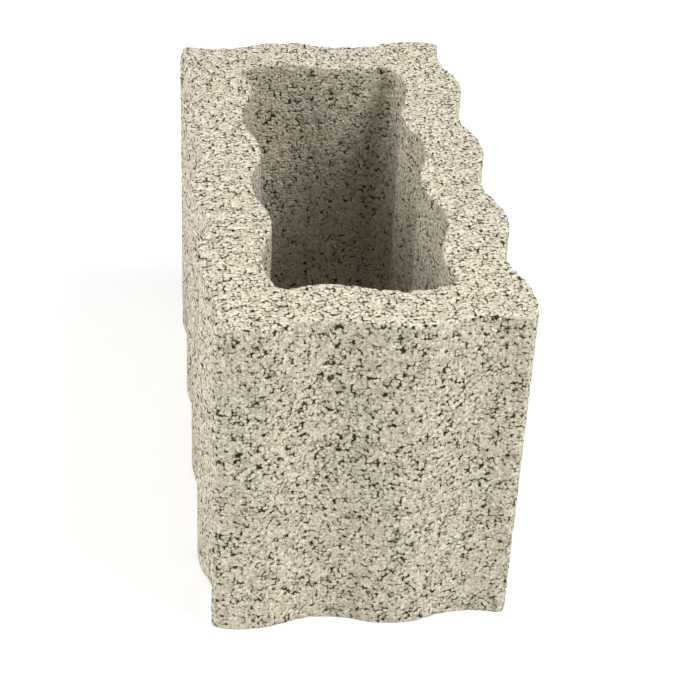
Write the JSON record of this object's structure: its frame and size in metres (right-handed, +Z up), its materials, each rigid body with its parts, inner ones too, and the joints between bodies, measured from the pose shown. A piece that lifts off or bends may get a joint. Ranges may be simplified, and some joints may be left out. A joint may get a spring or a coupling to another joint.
{
  "type": "concrete planter block",
  "caption": "Rectangular planter block of open-textured concrete with wavy walls, open at top and bottom, that nests with its like.",
  "frame": {"origin": "middle of the underside", "axes": "+X across the block, +Y along it, +Z up"},
  "size_m": [0.262, 0.512, 0.3],
  "materials": {
    "concrete": "coarse open-textured warm grey concrete"
  },
  "bodies": {
    "root": {"planter_block": "concrete"}
  },
  "joints": []
}
